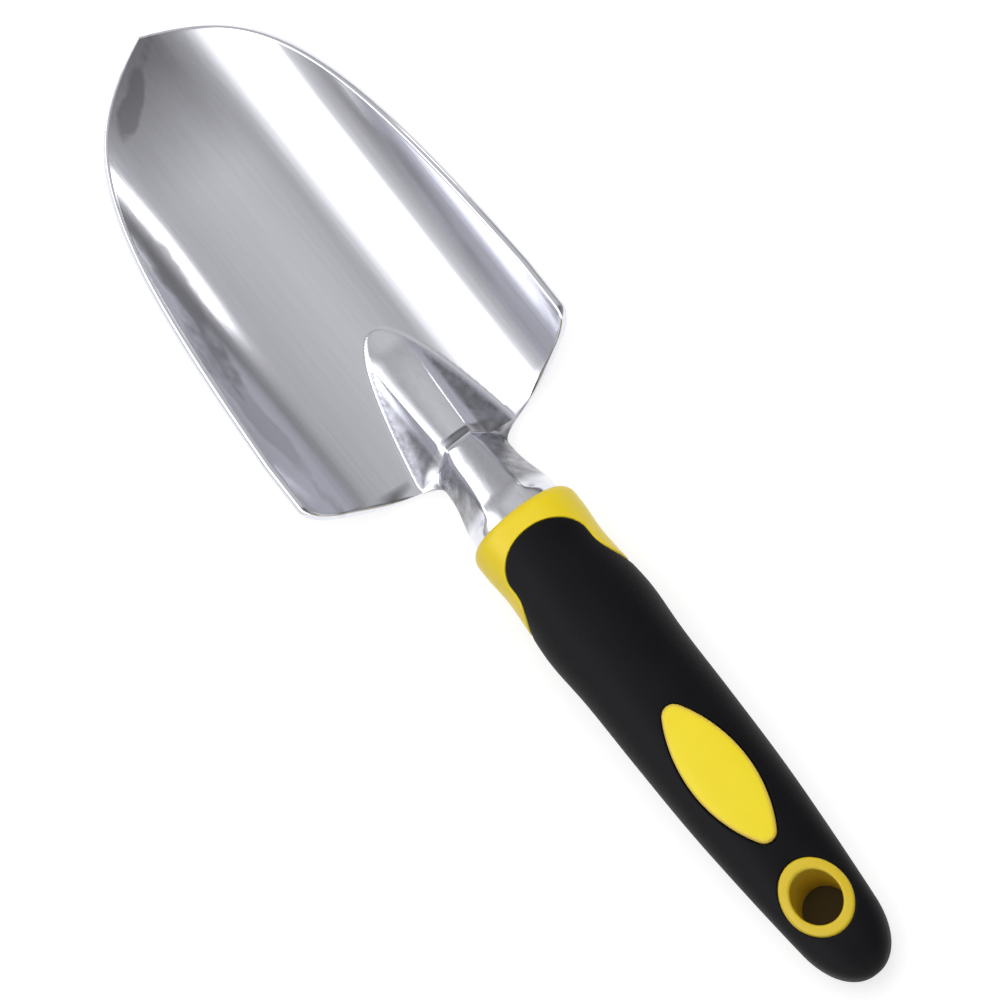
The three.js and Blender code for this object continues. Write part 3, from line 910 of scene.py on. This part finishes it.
def noise(maker, place, scale, detail=2, roughness=0.5):
    return maker.node(
        "ShaderNodeTexNoise",
        {"normalize": True},
        Vector=place,
        Scale=scale,
        Detail=detail,
        Roughness=roughness,
    )


def bump(maker, height, strength, distance, normal=None):
    return maker.node(
        "ShaderNodeBump", Height=height, Strength=strength, Distance=distance, Normal=normal
    )


aluminium = {
    "colour": (0.775, 0.78, 0.84),
    "roughness": 0.13,
    "streaks": 0.10,
    # painted shade: the sides of the rib and neck take this dark colour in place of dark reflections
    "flankShadeColour": (0.20, 0.20, 0.21),
    "castRoughness": 0.30,
    # painted reflections: dark streaks on the scoop where dark surroundings would be reflected
    # x, y, slant, half length, half width, depth
    "paintedReflections": (
        (-32.5, 93, 0.13, 27, 3.9, 0.62),
        (-10.5, 148, 1.2, 9.5, 3.8, 0.5),
        (-36, 48, -0.05, 34, 2.2, 0.3),
    ),
}


def paintedReflections(maker, place):
    # painted reflections on the scoop: dark streaks standing in for dark surroundings reflected in it, each
    # a slanting streak with a ragged edge
    warp = noise(maker, stretched(maker, place, (1, 0.45, 1)), 75, 4, 0.6)
    total = None
    for x, y, slant, halfLength, halfWidth, depth in aluminium["paintedReflections"]:
        across = maker.node("ShaderNodeSeparateXYZ", s0=place)
        along = Wire(maker.tree, across.socket.node.outputs[1])
        u = (along - y * mm) / (halfLength * mm)
        v = (across - x * mm - (along - y * mm) * slant) / (halfWidth * mm)
        reach = (u * u + v * v).math("SQRT") + (warp - 0.5) * 3.2
        share = maker.node("ShaderNodeMapRange", s0=reach, s1=0.55, s2=1.0, s3=depth, s4=0.0)
        total = share if total is None else total.math("MAXIMUM", share)
    return total


def aluminiumNodes(maker, place):
    # polished casting: fine lines along the tool, faint waviness under them
    lines = noise(maker, stretched(maker, place, (1, 0.03, 1)), 900, 3, 0.6)
    soft = noise(maker, stretched(maker, place, (1, 0.25, 1)), 60, 2)
    wave = noise(maker, place, 22, 1)
    darker = [c * 0.94 for c in aluminium["colour"]]
    tone = maker.ramp(lines, [(0.3, darker), (0.7, aluminium["colour"])])
    height = lines * 0.25 + wave
    # the sides of the rib and neck are duller and carry painted shade, a darker colour for the dark
    # reflections in them; painted reflections streak the scoop too
    dullAndShaded = maker.node("ShaderNodeAttribute", {"attribute_name": "castSkinAndShade"}, 2)
    grain = noise(maker, place, 260, 3)
    patchy = maker.node("ShaderNodeMapRange", s0=grain, s1=0.3, s2=0.7, s3=0.55, s4=1.0)
    dullAndShaded = (dullAndShaded * patchy).math("MAXIMUM", paintedReflections(maker, place))
    shine = aluminium["roughness"] + aluminium["streaks"] * (lines * soft)
    return {
        "Base Color": maker.mixColour(dullAndShaded, tone, aluminium["flankShadeColour"]),
        "Metallic": 1.0,
        "Roughness": shine + (aluminium["castRoughness"] - shine) * dullAndShaded,
        "Normal": bump(maker, height, 0.05, 0.0006),
    }


def plasticNodes(colour, deep, roughness):
    def build(maker, place):
        # moulded skin: fine stipple, cloudy gloss
        stipple = noise(maker, place, 2600, 2)
        cloud = noise(maker, place, 90, 3)
        return {
            "Base Color": maker.mixColour(cloud, deep, colour),
            "Roughness": roughness + 0.14 * cloud,
            "Normal": bump(maker, stipple, 0.25, 0.00006),
            "Specular IOR Level": 0.3,
            "Subsurface Weight": 0.06,
            "Subsurface Radius": (0.002, 0.0015, 0.0004),
        }

    return build


def padNodes(maker, place):
    base = plasticNodes((0.96, 0.79, 0.022), (0.93, 0.73, 0.014), 0.34)(maker, place)
    # painted shade along the pad's rounded edge: a darker yellow near its outline
    paintedEdgeShade = maker.node("ShaderNodeAttribute", {"attribute_name": "edgeDepth"}, 2)
    share = maker.node("ShaderNodeMapRange", s0=paintedEdgeShade, s1=0.0, s2=1.0, s3=0.0, s4=1.0)
    base["Base Color"] = maker.mixColour(share, (0.80, 0.58, 0.075), base["Base Color"])
    return base


def rubberNodes(maker, place):
    # fine matt grain with a slightly rubbed sheen
    grain = maker.node("ShaderNodeTexVoronoi", Vector=place, Scale=1500)
    cloud = noise(maker, place, 70, 4)
    return {
        "Base Color": maker.mixColour(cloud, (0.0025, 0.0025, 0.0035), (0.0055, 0.0055, 0.007)),
        "Roughness": 0.52 + 0.16 * cloud,
        "Normal": bump(maker, grain, 0.3, 0.00012),
        "Specular IOR Level": 0.13,
    }


def floorNodes(maker, place):
    # a softly lit, glowing table top, with a painted shadow under the hanging hole
    speck = noise(maker, place, 6, 2)
    hole = maker.node("ShaderNodeVectorMath", {"operation": "DISTANCE"}, 1, s0=place, s1=holeShadowSpot)
    outsidePaintedShadow = maker.node("ShaderNodeMapRange", s0=hole, s1=0.0075, s2=0.011, s3=0.0, s4=1.0)
    pale = maker.mixColour(speck, (0.40, 0.40, 0.40), (0.42, 0.42, 0.42))
    return {
        # the painted shadow darkens the colour and takes the glow away under the hole
        "Base Color": maker.mixColour(outsidePaintedShadow, (0.06, 0.045, 0.02), pale),
        "Emission Color": maker.mixColour(outsidePaintedShadow, (0, 0, 0), (1, 1, 1)),
        "Emission Strength": 0.72,
        "Roughness": 0.9,
        "Specular IOR Level": 0.1,
    }


# centre of the painted shadow on the floor, under the hanging hole
holeShadowSpot = (0, (tipY - eyeletStation + 3) * mm, 0)


def makeEyelet(material):
    # an oval ring with rounded lips, whose upper lip follows the grip
    tree = bpy.data.node_groups.new("ovalRing", "GeometryNodeTree")
    halfWidth, halfHeight, centre, squareness = [float(v) for v in handleShape(np.array(eyeletStation))]
    ahead = [float(v) for v in handleShape(np.array(eyeletStation - 8))]
    values = {
        "Outer half length": eyelet["outerHalfLength"] * mm,
        "Outer half width": eyelet["outerHalfWidth"] * mm,
        "Bore half length": eyelet["boreHalfLength"] * mm,
        "Bore half width": eyelet["boreHalfWidth"] * mm,
        "Lip share": eyelet["lipShare"],
        "Lip depth": eyelet["lipDepth"] * mm,
        "Handle half width": (halfWidth + eyelet["proud"]) * mm,
        "Handle half height": (halfHeight + eyelet["proud"]) * mm,
        "Handle centre": centre * mm,
        "Climb": (ahead[2] + ahead[1] - centre - halfHeight) / 8,
        "Squareness": squareness,
    }
    identifiers = {}
    for name in values:
        item = tree.interface.new_socket(name, in_out="INPUT", socket_type="NodeSocketFloat")
        identifiers[name] = item.identifier
    tree.interface.new_socket("Geometry", in_out="OUTPUT", socket_type="NodeSocketGeometry")
    maker = Maker(tree)
    inputs = tree.nodes.new("NodeGroupInput")
    size = {name: Wire(tree, inputs.outputs[name]) for name in values}
    grid = maker.node(
        "GeometryNodeMeshGrid",
        Size_X=1.0,
        Size_Y=1.0,
        Vertices_X=eyelet["profile"] + 1,
        Vertices_Y=eyelet["sides"] + 1,
    )
    parts = tree.nodes.new("ShaderNodeSeparateXYZ")
    plug(tree, parts.inputs[0], maker.node("GeometryNodeInputPosition"))
    loop = (Wire(tree, parts.outputs[0]) + 0.5 + 0.5 / eyelet["profile"]) * (2 * math.pi)
    turn = (Wire(tree, parts.outputs[1]) + 0.5) * (2 * math.pi)
    across = 0.5 - loop.math("COSINE") * 0.5  # 0 on the outer wall, 1 in the bore
    onTop = loop.math("SINE").math("GREATER_THAN", 0.0)
    reach = ((across * 2 - 1).math("ABSOLUTE") - (1 - size["Lip share"])) / size["Lip share"]
    reach = reach.math("MAXIMUM", 0.0).math("MINIMUM", 1.0)
    drop = size["Lip depth"] * (1 - (1 - reach * reach).math("SQRT"))
    outerX, boreX = size["Outer half width"], size["Bore half width"]
    outerY, boreY = size["Outer half length"], size["Bore half length"]
    x = turn.math("COSINE") * (outerX + (boreX - outerX) * across)
    y = turn.math("SINE") * (outerY + (boreY - outerY) * across)
    share = (x / size["Handle half width"]).math("ABSOLUTE") ** size["Squareness"]
    crown = size["Handle half height"] * (1 - share) ** (1 / size["Squareness"])
    top = size["Handle centre"] + crown + y * size["Climb"] - drop
    z = top * onTop + (drop * 0.5) * (1 - onTop)
    spot = maker.node("ShaderNodeCombineXYZ", X=x, Y=y + (tipY - eyeletStation) * mm, Z=z)
    shape = maker.node("GeometryNodeSetPosition", Geometry=grid, Position=spot)
    shape = maker.node("GeometryNodeMergeByDistance", Geometry=shape, Distance=1e-6)
    shape = maker.node("GeometryNodeRealizeInstances", Geometry=shape)
    shape = maker.node("GeometryNodeSetMaterial", Geometry=shape, Material=material)
    result = tree.nodes.new("NodeGroupOutput")
    plug(tree, result.inputs[0], shape)
    carrier = bpy.data.objects.new("ringCarrier", bpy.data.meshes.new("ringCarrier"))
    scene.collection.objects.link(carrier)
    modifier = carrier.modifiers.new("ring", "NODES")
    modifier.node_group = tree
    for name, value in values.items():
        modifier[identifiers[name]] = value
    bpy.context.view_layer.update()
    evaluated = carrier.evaluated_get(bpy.context.evaluated_depsgraph_get())
    mesh = bpy.data.meshes.new_from_object(evaluated)
    carrier.modifiers.remove(modifier)
    bpy.data.objects.remove(carrier)
    body = bmesh.new()
    body.from_mesh(mesh)
    bmesh.ops.recalc_face_normals(body, faces=body.faces)
    openEdges = sum(1 for e in body.edges if len(e.link_faces) != 2)
    body.to_mesh(mesh)
    body.free()
    mesh.shade_smooth()
    ring = bpy.data.objects.new("hangEyelet", mesh)
    scene.collection.objects.link(ring)
    print("trowel: hangEyelet", len(mesh.polygons), "faces,", openEdges, "open edges")
    return ring


polished = newMaterial("polishedAluminium", aluminiumNodes)
yellow = newMaterial("yellowPlastic", plasticNodes((0.92, 0.72, 0.022), (0.89, 0.66, 0.014), 0.30))
ringYellow = newMaterial("eyeletPlastic", plasticNodes((0.77, 0.58, 0.035), (0.71, 0.50, 0.02), 0.30))
padYellow = newMaterial("padPlastic", padNodes)
rubber = newMaterial("gripRubber", rubberNodes)
paleFloor = newMaterial("paleFloor", floorNodes)
print("trowel: materials made")

headPiece = makeHead()
gripPiece = makeGrip()
corePiece = joinPieces("handleCore", [makeCollar(), makeSpine()])
padPiece = makePad()
eyeletPiece = makeEyelet(ringYellow)

# the share of duller finish and painted shade on the sides of the head's rib and neck
spots = np.array([v.co for v in headPiece.data.vertices]) / mm
castSkinAndShade = headPiece.data.attributes.new("castSkinAndShade", "FLOAT", "POINT")
shares = castSkinAndShadeShare(spots[:, 0], tipY - spots[:, 1], spots[:, 2])
castSkinAndShade.data.foreach_set("value", shares.astype(np.float32))

# the pad's depth inside its outline, which places the painted shade along its edge
lens = outlineDepth(padOutline(0))
spots = np.array([v.co for v in padPiece.data.vertices]) / mm
depths = lens(spots[:, 0], tipY - spots[:, 1])
edgeDepth = padPiece.data.attributes.new("edgeDepth", "FLOAT", "POINT")
edgeDepth.data.foreach_set("value", np.clip((depths - 0.5) / 0.7, 0, 1).astype(np.float32))

for piece, node, slotName, material in (
    (headPiece, "trowel_head", "polished_aluminium", polished),
    (gripPiece, "grip_sleeve", "black_rubber", rubber),
    (corePiece, "handle_core", "yellow_plastic", yellow),
    (padPiece, "thumb_pad", "yellow_pad", padYellow),
    (eyeletPiece, "hang_eyelet", "yellow_eyelet", ringYellow),
):
    piece.data.materials.clear()
    piece.data.materials.append(material)
    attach(piece, "root")
    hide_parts(node)

studio = {
    "floorHalf": 20.0,
    "floorHeight": -0.0004,
    "brightest": 3.0,
    # brightness of the surroundings against the angle from straight up, to the left above zero
    "sky": (
        (-180, 0.05),
        (-96, 0.05),
        (-84, 0.045),
        (-76, 0.10),
        (-70, 0.16),
        (-62, 0.17),
        (-38, 0.20),
        (-10, 0.225),
        (10, 0.20),
        (20, 0.155),
        (26, 0.20),
        (33, 0.45),
        (40, 1.0),
        (65, 1.0),
        (69, 0.24),
        (82, 0.15),
        (92, 0.06),
        (180, 0.05),
    ),
    # darker overhead on the tail's side: y of the direction, share kept
    "overhead": (
        (-1.0, 0.45),
        (-0.30, 0.22),
        (-0.12, 0.34),
        (0.10, 0.70),
        (0.26, 1.0),
        (0.75, 1.0),
        (1.0, 0.6),
    ),
    # name: azimuth, elevation, distance, width, height, watts
    "panels": {
        "rightPanel": (136, 18, 0.24, 0.045, 0.02, 0.011),
    },
    # soft light that only matt surfaces show
    "fills": {
        "overheadFill": (180, 86, 2.0, 2.6, 2.6, 56),
    },
}


def makeFloor():
    mesh = bpy.data.meshes.new("floor")
    h = studio["floorHalf"]
    z = studio["floorHeight"]
    mesh.from_pydata([(-h, -h, z), (h, -h, z), (h, h, z), (-h, h, z)], [], [(0, 1, 2, 3)])
    floor = bpy.data.objects.new("floor", mesh)
    scene.collection.objects.link(floor)
    mesh.materials.append(paleFloor)


def makePanel(name, azimuth, elevation, distance, width, height, watts):
    # azimuth 0 is the tail's side, 90 is +X, and the panel faces the tool
    a, e = math.radians(azimuth), math.radians(elevation)
    back = Vector((math.sin(a) * math.cos(e), -math.cos(a) * math.cos(e), math.sin(e)))
    light = bpy.data.lights.new(name, "AREA")
    light.shape, light.size, light.size_y, light.energy = "RECTANGLE", width, height, watts
    panel = bpy.data.objects.new(name, light)
    scene.collection.objects.link(panel)
    panel.location = back * distance
    side = Vector((math.cos(a), math.sin(a), 0))
    up = back.cross(side)
    panel.rotation_euler = Matrix((side, up, back)).transposed().to_euler()
    panel.visible_camera = False
    return panel


def makeCamera():
    shot = {"elevation": 74, "roll": 38.25, "lens": 800, "frameWidth": 257.7, "aim": (-0.64, 3.6, 0)}
    e = math.radians(shot["elevation"])
    back = Vector((0, -math.cos(e), math.sin(e)))
    data = bpy.data.cameras.new("camera")
    data.lens, data.clip_start, data.clip_end = shot["lens"], 0.1, 50
    camera = bpy.data.objects.new("camera", data)
    scene.collection.objects.link(camera)
    across = shot["frameWidth"] * mm
    distance = across / 2 / (data.sensor_width / 2 / data.lens)
    aim = Vector(shot["aim"]) * mm
    turn = back.to_track_quat("Z", "Y").to_matrix() @ Matrix.Rotation(-math.radians(shot["roll"]), 3, "Z")
    camera.matrix_world = Matrix.Translation(aim + back * distance) @ turn.to_4x4()
    scene.camera = camera


def makeSky():
    # a wide soft light on the left, dim walls, and a darker patch overhead
    world = bpy.data.worlds.new("studio")
    world.use_nodes = True
    tree = world.node_tree
    maker = Maker(tree)
    parts = tree.nodes.new("ShaderNodeSeparateXYZ")
    plug(tree, parts.inputs[0], Wire(tree, tree.nodes.new("ShaderNodeTexCoord").outputs["Generated"]))
    x, y, z = (Wire(tree, parts.outputs[i]) for i in range(3))
    angle = (0 - x).math("ARCTAN2", z) * (180 / math.pi)

    def curve(factor, low, high, stops):
        spread = high - low
        return maker.ramp((factor - low) / spread, [((a - low) / spread, (v,) * 3) for a, v in stops])

    sky = curve(angle, -180, 180, studio["sky"])
    kept = curve(y, -1, 1, studio["overhead"])
    aside = ((angle + 20).math("ABSOLUTE") - 28) / 18
    shade = maker.mixColour(aside.math("MAXIMUM", 0.0).math("MINIMUM", 1.0), kept, (1, 1, 1))
    light = maker.mixColour(1.0, sky, shade, "MULTIPLY")
    background = tree.nodes["Background"]
    plug(tree, background.inputs[0], light)
    background.inputs[1].default_value = studio["brightest"]
    world.cycles_visibility.diffuse = False
    scene.world = world


makeFloor()
for name, settings in studio["panels"].items():
    makePanel(name, *settings).visible_diffuse = False
for name, settings in studio["fills"].items():
    makePanel(name, *settings).visible_glossy = False
makeSky()
scene.view_settings.view_transform = "Standard"
makeCamera()
print("trowel: floor, lights and camera placed")
